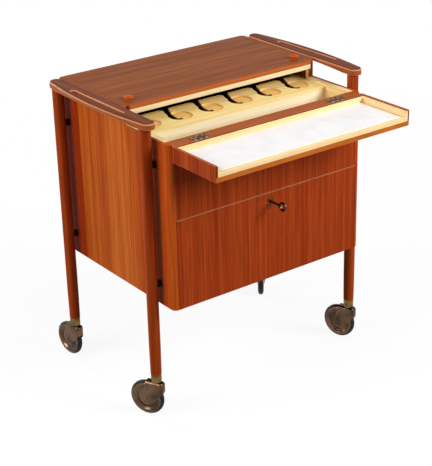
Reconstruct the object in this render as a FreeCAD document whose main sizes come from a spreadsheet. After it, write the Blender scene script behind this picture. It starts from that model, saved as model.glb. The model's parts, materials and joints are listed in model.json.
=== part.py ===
import FreeCAD, Part
import math
import os
from types import SimpleNamespace

import Sketcher

# Teak bar cart on four casters. A front flap folds out beside a rack for stemmed glasses, the lid behind it
# lifts over a bottle well, and a fall-front door with a lock closes the cupboard below.
# X points right, Y to the back and Z up. The origin is on the floor, midway between the four legs.
# Lengths are millimetres and angles are degrees.

SIZES = {
    # Cabinet
    "cabinet_width": 488.0,
    "front_overhang": 48.0,
    "rear_overhang": 32.0,
    "cabinet_bottom": 253.0,
    "rim_height": 603.0,
    "side_thickness": 12.0,
    "corner_radius": 11.0,
    "lip_depth": 39.0,
    "back_thickness": 8.0,
    "bottom_thickness": 12.0,
    "bottom_setback": 2.5,
    "fascia_thickness": 18.0,
    "fascia_base": 446.0,
    "shelf_thickness": 10.0,
    "partition_thickness": 10.0,
    "cupboard_depth": 210.0,
    "rim_width": 5.0,
    "liner_thickness": 6.0,
    "liner_depth": 190.0,
    "liner_drop": 0.5,
    "flange_depth": 8.0,
    # Glass rack and the trough in front of it
    "trough_width": 75.0,
    "trough_depth": 77.0,
    "trough_floor_thickness": 6.0,
    "rack_front_thickness": 8.0,
    "rack_depth": 90.0,
    "rack_thickness": 5.0,
    "rack_drop": 5.0,
    "slot_pitch": 76.0,
    "slot_row_shift": -9.75,
    "slot_width": 12.5,
    "seat_setback": 36.25,
    "hook_radius": 8.0,
    "lead_radius": 110.0,
    "mouth_flare": 10.0,
    "mouth_round": 5.0,
    "dish_radius": 26.0,
    "dish_depth": 3.0,
    "dish_cove": 2.0,
    "dish_shift": 6.0,
    "dish_setback": 9.0,
    # Lid
    "lid_depth": 254.0,
    "lid_thickness": 9.0,
    "lid_rise": 29.5,
    "lid_edge_round": 2.0,
    "lid_side_gap": 1.0,
    "lid_bed_thickness": 10.0,
    "lid_bed_gap": 1.0,
    "lid_bed_rear_gap": 4.0,
    "step_setback": 8.0,
    "step_drop": 0.5,
    "knob_spacing": 424.0,
    "knob_setback": 33.0,
    "knob_radius": 10.0,
    "knob_neck_radius": 8.0,
    "knob_height": 8.5,
    "knob_rim": 2.5,
    # Flap
    "flap_width": 482.0,
    "flap_depth": 144.5,
    "flap_height": 38.0,
    "flap_board": 12.0,
    "flap_end_wall": 5.0,
    "flap_rear_wall": 13.5,
    "flap_front_radius": 3.0,
    "flap_bed_thickness": 11.5,
    "lining_thickness": 3.5,
    "lining_drop": 2.0,
    "laminate_thickness": 1.5,
    "flap_hinge_gap": 0.5,
    "flap_closing_gap": 0.6,
    # Hinges of the flap and the lid
    "hinge_width": 40.0,
    "flap_leaf_length": 12.0,
    "lid_leaf_length": 7.0,
    "leaf_thickness": 1.2,
    "knuckle_radius": 2.6,
    "hinge_pin_radius": 1.2,
    "knuckle_gap": 0.3,
    "notch_gap": 0.6,
    "running_gap": 0.05,
    "flap_hinge_spacing": 344.0,
    "lid_hinge_spacing": 300.0,
    # Fall-front door
    "door_thickness": 15.0,
    "door_side_gap": 1.0,
    "door_top_gap": 1.0,
    "pivot_inset": 5.0,
    "pivot_radius": 2.5,
    "pivot_lip_depth": 8.0,
    "pivot_door_depth": 10.0,
    # Lock, bolt and key
    "keyhole_drop": 20.0,
    "lock_width": 44.0,
    "lock_height": 38.0,
    "lock_depth": 10.0,
    "lock_wall": 1.0,
    "bolt_width": 16.0,
    "bolt_thickness": 4.2,
    "bolt_height": 27.5,
    "bolt_drop": 0.5,
    "bolt_travel": 7.0,
    "bolt_mortise_gap": 1.5,
    "sliding_gap": 0.3,
    "bit_chamber_width": 24.0,
    "bit_chamber_height": 26.0,
    "bit_length": 8.0,
    "bit_thickness": 2.0,
    "bit_width": 2.4,
    "lug_offset": 3.2,
    "lug_width": 4.6,
    "lug_height": 4.0,
    "lug_drop": 4.5,
    "shank_radius": 2.2,
    "key_reach": 50.0,
    "bow_radius": 10.0,
    "bow_hole_radius": 5.5,
    "bow_thickness": 3.0,
    "key_collar_radius": 3.4,
    "key_collar_length": 3.0,
    "escutcheon_width": 14.0,
    "escutcheon_height": 26.0,
    "escutcheon_thickness": 0.8,
    "keyhole_gap": 0.6,
    # Legs
    "leg_spread": 527.0,
    "leg_wheelbase": 320.0,
    "leg_radius": 12.0,
    "leg_foot_radius": 11.4,
    "leg_taper_length": 60.0,
    "ferrule_radius": 11.0,
    "ferrule_height": 18.0,
    "ferrule_wall": 1.5,
    "socket_radius": 6.0,
    "socket_length": 34.0,
    "spacer_radius": 7.5,
    "upper_spacer_height": 552.0,
    "lower_spacer_height": 298.5,
    # Push handles
    "handle_rise": 27.0,
    "handle_thickness": 14.0,
    "handle_arch_length": 290.0,
    "handle_arch_rise": 5.5,
    "handle_gap": 3.0,
    "handle_end_width": 28.0,
    "handle_middle_width": 41.0,
    "handle_length": 364.0,
    "handle_edge_round": 4.5,
    "grip_edge_round": 2.5,
    "grip_length": 190.0,
    "grip_width": 12.0,
    "grip_offset": 22.5,
    "grip_shift": 2.0,
    # Casters
    "wheel_radius": 38.4,
    "caster_trail": 22.7,
    "tyre_width": 12.0,
    "tyre_depth": 6.0,
    "tread_round": 5.5,
    "hub_rim_width": 9.6,
    "hub_rim_depth": 2.5,
    "hub_web_width": 4.0,
    "hub_dome_radius": 25.0,
    "hub_dome_crown": 48.0,
    "hub_boss_radius": 7.0,
    "hub_boss_width": 15.0,
    "axle_radius": 3.0,
    "axle_head_radius": 5.0,
    "axle_head_height": 1.6,
    "fork_plate": 1.6,
    "fork_side_gap": 0.8,
    "fork_foot_reach": 8.5,
    "fork_foot_drop": 11.0,
    "fork_foot_round": 7.0,
    "fork_fold": 7.0,
    "crown_gap": 0.6,
    "crown_thickness": 2.6,
    "crown_collar_radius": 8.0,
    "hood_back": 17.0,
    "hood_front": 22.0,
    "hood_lip": 9.0,
    "hood_skirt": 21.0,
    "cheek_back": 10.0,
    "cheek_skirt": 33.0,
    "stem_radius": 4.0,
    "stem_length": 30.0,
    "swivel_gap": 0.3,
}
# How far each caster is turned from straight back
CASTER_TURNS = {"front_left": 26.6, "front_right": 18.0, "rear_left": 8.0, "rear_right": 142.3}
GLASS_SLOTS = 6
NEAR = 0.01
SIDES = {"left": -1, "right": 1}
ROWS = {"front": -1, "rear": 1}


class Size:
    """A length or an angle: its value, and the sheet expression that drives it."""

    def __init__(self, text, value):
        self.text = text
        self.value = value

    def __add__(self, other):
        return Size(f"({self.text} + {as_size(other).text})", self.value + as_size(other).value)

    def __sub__(self, other):
        return Size(f"({self.text} - {as_size(other).text})", self.value - as_size(other).value)

    def __mul__(self, other):
        return Size(f"({self.text} * {as_size(other).text})", self.value * as_size(other).value)

    def __truediv__(self, other):
        return Size(f"({self.text} / {as_size(other).text})", self.value / as_size(other).value)

    def __rmul__(self, other):
        return as_size(other) * self

    def __neg__(self):
        return -1 * self


def as_size(number):
    return number if isinstance(number, Size) else Size(f"({number})", number)


def root(size):
    return Size(f"sqrt({size.text})", math.sqrt(size.value))


def sine(angle):
    return Size(f"sin({angle.text} * 1 deg)", math.sin(math.radians(angle.value)))


def cosine(angle):
    return Size(f"cos({angle.text} * 1 deg)", math.cos(math.radians(angle.value)))


# The sheet of driving sizes
doc = FreeCAD.newDocument("bar_cart")
sheet = doc.addObject("Spreadsheet::Sheet", "sizes")
S = SimpleNamespace()
driving = {**SIZES, **{"turn_" + corner: angle for corner, angle in CASTER_TURNS.items()}}
for row, (name, value) in enumerate(driving.items(), 1):
    sheet.set(f"A{row}", name)
    sheet.set(f"B{row}", str(value))
    sheet.setAlias(f"B{row}", name)
    setattr(S, name, Size(f"sizes.{name}", value))
doc.recompute()

# Places worked out from the driving sizes
ZERO = as_size(0.0)
half_width = S.cabinet_width / 2
inner_x = half_width - S.side_thickness
rim_x = half_width - S.rim_width
front_reach = S.leg_wheelbase / 2 + S.front_overhang
front_y = -front_reach
lip_y = front_y + S.lip_depth
rear_y = S.leg_wheelbase / 2 + S.rear_overhang
back_y = rear_y - S.back_thickness
bottom_top = S.cabinet_bottom + S.bottom_thickness
fascia_back = front_y + S.fascia_thickness
shelf_top = S.fascia_base + S.shelf_thickness
partition_y = fascia_back + S.cupboard_depth
partition_back = partition_y + S.partition_thickness
lined_x = inner_x - S.liner_thickness
rack_y = fascia_back + S.trough_width
rack_rear = rack_y + S.rack_depth
rack_top = S.rim_height - S.rack_drop
rack_underside = rack_top - S.rack_thickness
lid_front = rear_y - S.lid_depth
lid_underside = S.rim_height + S.lid_rise
lid_top = lid_underside + S.lid_thickness
lid_bed_base = lid_underside - S.lid_bed_thickness
step_y = lid_front + S.step_setback
step_top = lid_top - S.step_drop
lid_hinge_y = rear_y + S.knuckle_radius + S.knuckle_gap
lid_hinge_seat = S.knuckle_radius + S.knuckle_gap
flap_rear = front_y - S.flap_hinge_gap
flap_front = flap_rear - S.flap_depth
flap_bottom = S.rim_height - S.flap_height
flap_bed_base = flap_bottom + S.flap_board
flap_bed_top = flap_bed_base + S.flap_bed_thickness
flap_hinge_y = front_y - S.flap_hinge_gap / 2
flap_hinge_z = S.rim_height + S.flap_closing_gap / 2
flap_hinge_seat = S.flap_closing_gap / 2 + S.leaf_thickness
door_back = front_y + S.door_thickness
door_top = S.fascia_base - S.door_top_gap
door_side = inner_x - S.door_side_gap
pivot_y = front_y + S.pivot_inset
pivot_z = S.cabinet_bottom + S.pivot_inset
key_z = door_top - S.keyhole_drop
lock_front = door_back - S.lock_depth
bolt_back = door_back - S.lock_wall - S.sliding_gap
bolt_front = bolt_back - S.bolt_thickness
bolt_top = door_top - S.bolt_drop
bolt_bottom = bolt_top - S.bolt_height
bit_front = lock_front + S.lock_wall + S.sliding_gap
leg_x = S.leg_spread / 2
leg_y = S.leg_wheelbase / 2
handle_underside = S.rim_height + S.handle_rise
crown_underside = 2 * S.wheel_radius + S.crown_gap
crown_top = crown_underside + S.crown_thickness
ferrule_bottom = crown_top + S.swivel_gap
ferrule_top = ferrule_bottom + S.ferrule_height
leg_bottom = ferrule_bottom + S.ferrule_wall
hub_radius = S.wheel_radius - S.tyre_depth
fork_inside = S.hub_boss_width / 2 + S.fork_side_gap
fork_outside = fork_inside + S.fork_plate


# Helpers for the document's objects
nodes = []


def keep(item):
    """Marks an object as a piece of the cart, to be written under its label."""
    nodes.append(item)
    return item


def bind(item, prop, size):
    item.setExpression(prop, size.text)


def move(item, x=ZERO, y=ZERO, z=ZERO):
    for axis, place in zip("xyz", (x, y, z)):
        bind(item, "Placement.Base." + axis, place)
    return item


def turn(item, axis, angle):
    item.Placement = FreeCAD.Placement(item.Placement.Base, FreeCAD.Rotation(FreeCAD.Vector(*axis), angle.value))
    bind(item, "Placement.Rotation.Angle", angle)
    return item


def across(width):
    """The limits of a piece centred on the middle of the cart."""
    return -width / 2, width / 2


def block(label, x, y, z):
    """A rectangular piece between its limits along X, Y and Z."""
    box = doc.addObject("Part::Box", label)
    for prop, (low, high) in zip(("Length", "Width", "Height"), (x, y, z)):
        bind(box, prop, high - low)
    return move(box, x[0], y[0], z[0])


def rod(label, radius, axis, length, start):
    """A round piece along an axis direction from its start point."""
    cylinder = doc.addObject("Part::Cylinder", label)
    bind(cylinder, "Radius", radius)
    bind(cylinder, "Height", length)
    direction = FreeCAD.Rotation(FreeCAD.Vector(0, 0, 1), FreeCAD.Vector(*axis))
    cylinder.Placement = FreeCAD.Placement(FreeCAD.Vector(), direction)
    return move(cylinder, *start)


def fuse(label, *shapes):
    result = doc.addObject("Part::MultiFuse", label)
    result.Shapes = list(shapes)
    return result


def cut(label, base, *tools):
    result = doc.addObject("Part::Cut", label)
    result.Base = base
    result.Tool = tools[0] if len(tools) == 1 else fuse(label + "_cutters", *tools)
    return result


def group(label, *shapes):
    result = doc.addObject("Part::Compound", label)
    result.Links = list(shapes)
    return result


def mirror(label, source):
    """The left-hand twin of a right-hand piece."""
    result = doc.addObject("Part::Mirroring", label)
    result.Source = source
    result.Normal = FreeCAD.Vector(1, 0, 0)
    return result


def new_body(label):
    return doc.addObject("PartDesign::Body", label)


def origin_feature(body, role):
    return next(feature for feature in body.Origin.OriginFeatures if feature.Role == role)


def sketch_on(body, role, level=ZERO, shift=ZERO):
    """A sketch on one of the body's origin planes, set off along the plane's normal and its first axis."""
    sketch = body.newObject("Sketcher::SketchObject", body.Name + "_sketch")
    sketch.AttachmentSupport = (origin_feature(body, role), [""])
    sketch.MapMode = "FlatFace"
    bind(sketch, "AttachmentOffset.Base.z", level)
    bind(sketch, "AttachmentOffset.Base.x", shift)
    return sketch


def arc_between(start, end, radius):
    """An arc between two points, anticlockwise where the radius is positive."""
    chord = end - start
    rise = math.sqrt(max(radius * radius - chord.Length ** 2 / 4, 0.0))
    left = FreeCAD.Vector(-chord.y, chord.x, 0).normalize()
    centre = start + chord / 2 + left * math.copysign(rise, radius)
    first, last = (start, end) if radius > 0 else (end, start)
    angles = [math.atan2(point.y - centre.y, point.x - centre.x) for point in (first, last)]
    circle = Part.Circle(centre, FreeCAD.Vector(0, 0, 1), abs(radius))
    return Part.ArcOfCircle(circle, *angles)


def dimension(sketch, size, kind, *geometry):
    number = sketch.addConstraint(Sketcher.Constraint(kind, *geometry, size.value))
    bind(sketch, f"Constraints[{number}]", size)


def draw(sketch, path):
    """Draws a closed outline of corners (x, y); a third entry is the signed radius of an arc to that corner."""
    points = [FreeCAD.Vector(corner[0].value, corner[1].value, 0) for corner in path]
    pieces = []
    for number, corner in enumerate(path):
        ends = points[number - 1], points[number]
        is_arc = len(corner) > 2
        geometry = arc_between(*ends, corner[2].value) if is_arc else Part.LineSegment(*ends)
        backwards = is_arc and corner[2].value < 0
        pieces.append((sketch.addGeometry(geometry, False), backwards))
    for number, corner in enumerate(path):
        piece, backwards = pieces[number]
        following, next_backwards = pieces[(number + 1) % len(path)]
        end = 1 if backwards else 2
        start = 2 if next_backwards else 1
        sketch.addConstraint(Sketcher.Constraint("Coincident", piece, end, following, start))
        dimension(sketch, corner[0], "DistanceX", -1, 1, piece, end)
        dimension(sketch, corner[1], "DistanceY", -1, 1, piece, end)
        if len(corner) > 2:
            radius = corner[2] if corner[2].value > 0 else -corner[2]
            dimension(sketch, radius, "Radius", piece)
    return sketch


def draw_rectangle(sketch, first, second):
    (left, right), (low, high) = first, second
    return draw(sketch, [(left, low), (right, low), (right, high), (left, high)])


def draw_circle(sketch, x, y, radius):
    centre = FreeCAD.Vector(x.value, y.value, 0)
    circle = sketch.addGeometry(Part.Circle(centre, FreeCAD.Vector(0, 0, 1), radius.value), False)
    dimension(sketch, x, "DistanceX", -1, 1, circle, 3)
    dimension(sketch, y, "DistanceY", -1, 1, circle, 3)
    dimension(sketch, radius, "Radius", circle)
    return sketch


def draw_slot(sketch, x, low, high, width):
    """An upright slot with round ends, between the centres of its ends."""
    radius = width / 2
    return draw(sketch, [
        (x - radius, low),
        (x, low - radius, radius),
        (x + radius, low, radius),
        (x + radius, high),
        (x, high + radius, radius),
        (x - radius, high, radius),
    ])


def pad(body, sketch, length):
    feature = body.newObject("PartDesign::Pad", body.Name + "_pad")
    feature.Profile = sketch
    bind(feature, "Length", length)
    return feature


def pocket(body, sketch, length, along_normal=False):
    feature = body.newObject("PartDesign::Pocket", body.Name + "_pocket")
    feature.Profile = sketch
    feature.Reversed = along_normal
    bind(feature, "Length", length)
    return feature


def spin(body, sketch, axis, kind="Revolution"):
    """A full turn of the profile about one of the sketch's own axes."""
    feature = body.newObject("PartDesign::" + kind, body.Name + "_turned")
    feature.Profile = sketch
    feature.ReferenceAxis = (sketch, [axis])
    feature.Angle = 360
    return feature


def edges_at(feature, **places):
    """Names of the edges that lie wholly at the given x, y or z, or between a pair of them."""
    doc.recompute()
    names = []
    for number, edge in enumerate(feature.Shape.Edges, 1):
        box = edge.BoundBox
        limits = {"x": (box.XMin, box.XMax), "y": (box.YMin, box.YMax), "z": (box.ZMin, box.ZMax)}
        inside = True
        for axis, place in places.items():
            low, high = place if isinstance(place, tuple) else (place, place)
            inside &= low.value - NEAR < limits[axis][0] and limits[axis][1] < high.value + NEAR
        if inside:
            names.append(f"Edge{number}")
    return names


def round_edges(body, base, radius, names):
    feature = body.newObject("PartDesign::Fillet", body.Name + "_round")
    feature.Base = (base, names)
    bind(feature, "Radius", radius)
    return feature


# Cabinet


def side_panels():
    body = new_body("side_right")
    profile = draw(sketch_on(body, "YZ_Plane", inner_x), [
        (lip_y, S.cabinet_bottom),
        (rear_y, S.cabinet_bottom),
        (rear_y, step_top),
        (step_y, step_top),
        (step_y, S.rim_height),
        (lip_y, S.rim_height),
    ])
    panel = pad(body, profile, S.side_thickness)
    round_edges(body, panel, S.corner_radius, edges_at(panel, x=half_width, y=rear_y))
    rim_rebate(body, lip_y, step_y)
    keep(body)
    keep(mirror("side_left", body))


def rim_rebate(body, low_y, high_y):
    """Cuts the bed for the lining's flange into the top edge of a side piece."""
    bed = draw_rectangle(sketch_on(body, "XY_Plane", S.rim_height), (inner_x, rim_x), (low_y, high_y))
    pocket(body, bed, S.flange_depth)


def corner_lips():
    body = new_body("lip_right")
    outline = draw(sketch_on(body, "XY_Plane", S.cabinet_bottom), [
        (inner_x, front_y),
        (half_width - S.corner_radius, front_y),
        (half_width, front_y + S.corner_radius, S.corner_radius),
        (half_width, lip_y),
        (inner_x, lip_y),
    ])
    pad(body, outline, S.rim_height - S.cabinet_bottom)
    pivot_hole = draw_circle(sketch_on(body, "YZ_Plane", inner_x), pivot_y, pivot_z, S.pivot_radius)
    pocket(body, pivot_hole, S.pivot_lip_depth, along_normal=True)
    rim_rebate(body, fascia_back, lip_y)
    keep(body)
    keep(mirror("lip_left", body))


def carcass_boards():
    inside = -inner_x, inner_x
    bottom_front = door_back + S.bottom_setback
    keep(block("bottom_board", inside, (bottom_front, back_y), (S.cabinet_bottom, bottom_top)))
    keep(block("back_panel", inside, (back_y, rear_y), (S.cabinet_bottom, lid_underside)))
    keep(block("partition", inside, (partition_y, partition_back), (bottom_top, S.fascia_base)))
    keep(block("shelf", inside, (fascia_back, partition_back), (S.fascia_base, shelf_top)))


def fascia():
    board = block("fascia_board", (-inner_x, inner_x), (front_y, fascia_back), (S.fascia_base, S.rim_height))
    bolt_gap = S.bolt_mortise_gap
    bolt_mortise = block(
        "fascia_bolt_mortise",
        across(S.bolt_width + 2 * bolt_gap),
        (bolt_front - bolt_gap, bolt_back + bolt_gap),
        (S.fascia_base, bolt_top + S.bolt_travel + bolt_gap),
    )
    mortises = hinge_mortises("fascia", front_y, front_y + S.flap_leaf_length)
    keep(cut("fascia", board, bolt_mortise, *mortises))


def hinge_mortises(label, low_y, high_y):
    """Cutters for the flap's hinges in a top edge: a bed for each leaf and a trough for its knuckles."""
    cutters = []
    for side, sign in SIDES.items():
        centre = sign * S.flap_hinge_spacing / 2
        notch_half = S.hinge_width / 2 + S.knuckle_gap
        leaf_x = centre - S.hinge_width / 2, centre + S.hinge_width / 2
        leaf_z = S.rim_height - S.leaf_thickness, S.rim_height
        notch_start = centre - notch_half, flap_hinge_y, flap_hinge_z
        notch_radius = S.knuckle_radius + S.notch_gap
        cutters.append(block(f"{label}_leaf_bed_{side}", leaf_x, (low_y, high_y), leaf_z))
        cutters.append(rod(f"{label}_notch_{side}", notch_radius, (1, 0, 0), 2 * notch_half, notch_start))
    return cutters


def glass_compartment():
    inside = -lined_x, lined_x
    trough_top = S.rim_height - S.trough_depth
    liner_back = fascia_back + S.liner_depth
    liner_top = S.rim_height - S.liner_drop
    wall_x = lined_x, inner_x
    flange_z = S.rim_height - S.flange_depth, liner_top
    liner = fuse(
        "liner_right",
        block("liner_wall", wall_x, (fascia_back, liner_back), (shelf_top, liner_top)),
        block("liner_flange", (lined_x, rim_x), (fascia_back, step_y), flange_z),
        block("liner_rise", wall_x, (step_y, liner_back), (shelf_top, lid_bed_base - S.lid_bed_gap)),
    )
    keep(liner)
    keep(mirror("liner_left", liner))
    front_board = rack_y, rack_y + S.rack_front_thickness
    keep(block("rack_front", inside, front_board, (shelf_top, rack_underside)))
    floor_z = trough_top - S.trough_floor_thickness, trough_top
    keep(block("trough_floor", inside, (fascia_back, rack_y), floor_z))


def glass_rack():
    """A board with hooked slots for stemmed glasses, each with a shallow dish for the foot of the glass."""
    body = new_body("rack")
    plate = draw_rectangle(sketch_on(body, "XY_Plane", rack_underside), (-lined_x, lined_x), (rack_y, rack_rear))
    pad(body, plate, S.rack_thickness)
    row_length = (GLASS_SLOTS - 1) * S.slot_pitch
    seat_x = S.slot_row_shift - row_length / 2
    seat_y = rack_y + S.seat_setback
    hook_y = seat_y + S.hook_radius
    lead_x = seat_x - S.hook_radius + S.lead_radius
    half_slot = S.slot_width / 2
    outer_lead = S.lead_radius + half_slot
    inner_lead = S.lead_radius - half_slot
    outer_hook = S.hook_radius + half_slot
    inner_hook = S.hook_radius - half_slot

    def lead_edge(radius, y):
        return lead_x - root(radius * radius - (y - hook_y) * (y - hook_y))

    open_y = rack_rear + half_slot
    slot = draw(sketch_on(body, "XY_Plane", rack_top), [
        (lead_edge(outer_lead, open_y), open_y),
        (seat_x - outer_hook, hook_y, outer_lead),
        (seat_x, seat_y - half_slot, outer_hook),
        (seat_x + half_slot, seat_y, half_slot),
        (seat_x, seat_y + half_slot, half_slot),
        (seat_x - inner_hook, hook_y, -inner_hook),
        (lead_edge(inner_lead, open_y), open_y, -inner_lead),
    ])
    first_slot = pocket(body, slot, S.rack_thickness)
    dish_floor = rack_top - S.dish_depth
    dish = draw(sketch_on(body, "XZ_Plane", -seat_y - S.dish_setback, seat_x + S.dish_shift), [
        (ZERO, dish_floor),
        (S.dish_radius - S.dish_cove, dish_floor),
        (S.dish_radius, dish_floor + S.dish_cove, S.dish_cove),
        (S.dish_radius, rack_top + S.dish_depth),
        (ZERO, rack_top + S.dish_depth),
    ])
    first_dish = spin(body, dish, "V_Axis", "Groove")
    row = body.newObject("PartDesign::LinearPattern", "rack_slots")
    row.Originals = [first_slot, first_dish]
    row.Direction = (origin_feature(body, "X_Axis"), [""])
    row.Occurrences = GLASS_SLOTS
    bind(row, "Length", row_length)
    body.Tip = row
    left_mouths = []
    for number in range(GLASS_SLOTS):
        left_mouths += edges_at(row, x=lead_edge(outer_lead, rack_rear) + number * S.slot_pitch, y=rack_rear)
    flared = round_edges(body, row, S.mouth_flare, left_mouths)
    right_mouths = []
    for number in range(GLASS_SLOTS):
        right_mouths += edges_at(flared, x=lead_edge(inner_lead, rack_rear) + number * S.slot_pitch, y=rack_rear)
    round_edges(body, flared, S.mouth_round, right_mouths)
    keep(body)


# Lid, flap and their hinges


def lid():
    """The lid lies between the side panels, with a pale bed under its board."""
    board = new_body("lid_board")
    half = inner_x - S.lid_side_gap
    outline = draw_rectangle(sketch_on(board, "XY_Plane", lid_underside), (-half, half), (lid_front, rear_y))
    slab = pad(board, outline, S.lid_thickness)
    round_edges(board, slab, S.lid_edge_round, edges_at(slab, z=lid_top))
    keep(board)
    bed_y = lid_front, back_y - S.lid_bed_rear_gap
    keep(block("lid_bed", (-half, half), bed_y, (lid_bed_base, lid_underside)))


def lid_knobs():
    knob = new_body("lid_knob_right")
    rim_z = S.knob_height - S.knob_rim
    flare = S.knob_radius - S.knob_neck_radius
    crown = (S.knob_radius * S.knob_radius + S.knob_rim * S.knob_rim) / (2 * S.knob_rim)
    profile = draw(sketch_on(knob, "XZ_Plane"), [
        (ZERO, ZERO),
        (S.knob_neck_radius, ZERO),
        (S.knob_neck_radius, rim_z - flare),
        (S.knob_radius, rim_z, -flare),
        (ZERO, S.knob_height, crown),
    ])
    spin(knob, profile, "V_Axis")
    move(knob, S.knob_spacing / 2, lid_front + S.knob_setback, lid_top)
    keep(group("lid_knobs", knob, mirror("lid_knob_left", knob)))


def flap():
    half = S.flap_width / 2
    case = new_body("flap_shell")
    outline = draw(sketch_on(case, "XY_Plane", flap_bottom), [
        (S.flap_front_radius - half, flap_front, S.flap_front_radius),
        (half - S.flap_front_radius, flap_front),
        (half, flap_front + S.flap_front_radius, S.flap_front_radius),
        (half, flap_rear - S.corner_radius),
        (half - S.corner_radius, flap_rear, S.corner_radius),
        (S.corner_radius - half, flap_rear),
        (-half, flap_rear - S.corner_radius, S.corner_radius),
        (-half, flap_front + S.flap_front_radius),
    ])
    pad(case, outline, S.flap_height)
    tray_half = half - S.flap_end_wall
    tray_rear = flap_rear - S.flap_rear_wall
    tray_x = -tray_half, tray_half
    tray = draw_rectangle(sketch_on(case, "XY_Plane", S.rim_height), tray_x, (flap_front, tray_rear))
    pocket(case, tray, S.rim_height - flap_bed_base)
    mortises = hinge_mortises("flap", flap_rear - S.flap_leaf_length, flap_rear)
    keep(cut("flap_case", case, *mortises))

    bed = new_body("flap_bed")
    tray = draw_rectangle(sketch_on(bed, "XY_Plane", flap_bed_base), tray_x, (flap_front, tray_rear))
    lining_top = S.rim_height - S.lining_drop
    pad(bed, tray, lining_top - flap_bed_base)
    lined_half = tray_half - S.lining_thickness
    lined_y = flap_front, tray_rear - S.lining_thickness
    hollow = draw_rectangle(sketch_on(bed, "XY_Plane", lining_top), (-lined_half, lined_half), lined_y)
    pocket(bed, hollow, lining_top - flap_bed_top)
    keep(bed)
    laminate_z = flap_bed_top, flap_bed_top + S.laminate_thickness
    keep(block("flap_laminate", (-lined_half, lined_half), lined_y, laminate_z))


def butt_hinge(label, seat, leaf_length):
    """The two halves of a hinge whose pin lies along X: a fixed leaf towards +Y and a moving leaf towards -Y."""
    start = -S.hinge_width / 2
    third = (S.hinge_width - 2 * S.knuckle_gap) / 3
    middle = -third / 2
    last = S.hinge_width / 2 - third
    leaf_z = -seat, S.leaf_thickness - seat
    clear_radius = S.knuckle_radius + S.knuckle_gap
    clear_third = third + 2 * S.knuckle_gap

    def barrel(name, radius, length, place):
        return rod(f"{label}_{name}", radius, (1, 0, 0), length, (place, ZERO, ZERO))

    leaf_x = start, start + S.hinge_width
    fixed_plate = fuse(
        label + "_fixed_plate",
        block(label + "_fixed_leaf", leaf_x, (ZERO, leaf_length), leaf_z),
        barrel("first_knuckle", S.knuckle_radius, third, start),
        barrel("last_knuckle", S.knuckle_radius, third, last),
    )
    fixed_cut = cut(
        label + "_fixed_cut", fixed_plate,
        barrel("middle_space", clear_radius, clear_third, middle - S.knuckle_gap),
    )
    fixed = fuse(label + "_fixed", fixed_cut, barrel("pin", S.hinge_pin_radius, S.hinge_width, start))
    moving_plate = cut(
        label + "_moving_cut",
        block(label + "_moving_leaf", leaf_x, (-leaf_length, ZERO), leaf_z),
        barrel("first_space", clear_radius, third + S.knuckle_gap, start),
        barrel("last_space", clear_radius, third + S.knuckle_gap, last - S.knuckle_gap),
    )
    moving = cut(
        label + "_moving",
        fuse(label + "_moving_plate", moving_plate, barrel("middle_knuckle", S.knuckle_radius, third, middle)),
        barrel("bore", S.hinge_pin_radius + S.running_gap, S.hinge_width, start),
    )
    return fixed, moving


def hinge_pair(name, seat, leaf_length, spacing, y, z, quarter_turns):
    """Two hinges side by side; their fixed and moving halves are one node each."""
    halves = {"fixed": [], "moving": []}
    for side, sign in SIDES.items():
        for half, piece in zip(halves, butt_hinge(f"{name}_hinge_{side}", seat, leaf_length)):
            turn(piece, (1, 0, 0), quarter_turns * as_size(90.0))
            halves[half].append(move(piece, sign * spacing / 2, y, z))
    for half, pieces in halves.items():
        keep(group(f"{name}_hinges_{half}", *pieces))


# Door, lock and key


def door():
    panel = block("door_board", (-door_side, door_side), (front_y, door_back), (S.cabinet_bottom, door_top))
    bore_radius = S.pivot_radius + S.running_gap
    bore_depth = S.pivot_door_depth + S.sliding_gap
    cutters = [lock_block("door_lock_mortise"), *keyhole("door", front_y, lock_front)]
    pins = []
    pin_length = S.pivot_door_depth + S.door_side_gap + S.pivot_lip_depth
    pin_start = door_side - S.pivot_door_depth
    for side, sign in SIDES.items():
        bore_start = sign * (door_side - bore_depth), pivot_y, pivot_z
        cutters.append(rod(f"door_bore_{side}", bore_radius, (sign, 0, 0), bore_depth, bore_start))
        start = sign * pin_start, pivot_y, pivot_z
        pins.append(rod(f"door_pivot_{side}", S.pivot_radius, (sign, 0, 0), pin_length, start))
    keep(cut("door_panel", panel, *cutters))
    keep(group("door_pivots", *pins))


def lock_block(label):
    return block(label, across(S.lock_width), (lock_front, door_back), (door_top - S.lock_height, door_top))


def keyhole(label, low_y, high_y):
    """Cutters for the key's shank and bit through a wall between two depths."""
    bore_radius = S.shank_radius + S.running_gap
    slot_z = key_z - S.bit_length - S.keyhole_gap, key_z
    return [
        rod(label + "_key_bore", bore_radius, (0, 1, 0), high_y - low_y, (ZERO, low_y, key_z)),
        block(label + "_bit_slot", across(S.bit_thickness + 2 * S.keyhole_gap), (low_y, high_y), slot_z),
    ]


def lock():
    channel = block(
        "lock_bolt_channel",
        across(S.bolt_width + 2 * S.sliding_gap),
        (bolt_front - S.sliding_gap, bolt_back + S.sliding_gap),
        (bolt_bottom - S.sliding_gap, door_top),
    )
    chamber = block(
        "lock_bit_chamber",
        across(S.bit_chamber_width),
        (lock_front + S.lock_wall, bolt_front),
        (key_z - S.bit_chamber_height / 2, key_z + S.bit_chamber_height / 2),
    )
    front_wall = keyhole("lock", lock_front, lock_front + S.lock_wall)
    keep(cut("lock_case", lock_block("lock_body"), channel, chamber, *front_wall))
    lug_bottom = key_z - S.lug_drop
    bolt_body = block("bolt_bar", across(S.bolt_width), (bolt_front, bolt_back), (bolt_bottom, bolt_top))
    lug = block(
        "bolt_lug",
        (S.lug_offset, S.lug_offset + S.lug_width),
        (bit_front, bolt_front),
        (lug_bottom, lug_bottom + S.lug_height),
    )
    keep(fuse("bolt", bolt_body, lug))


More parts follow.
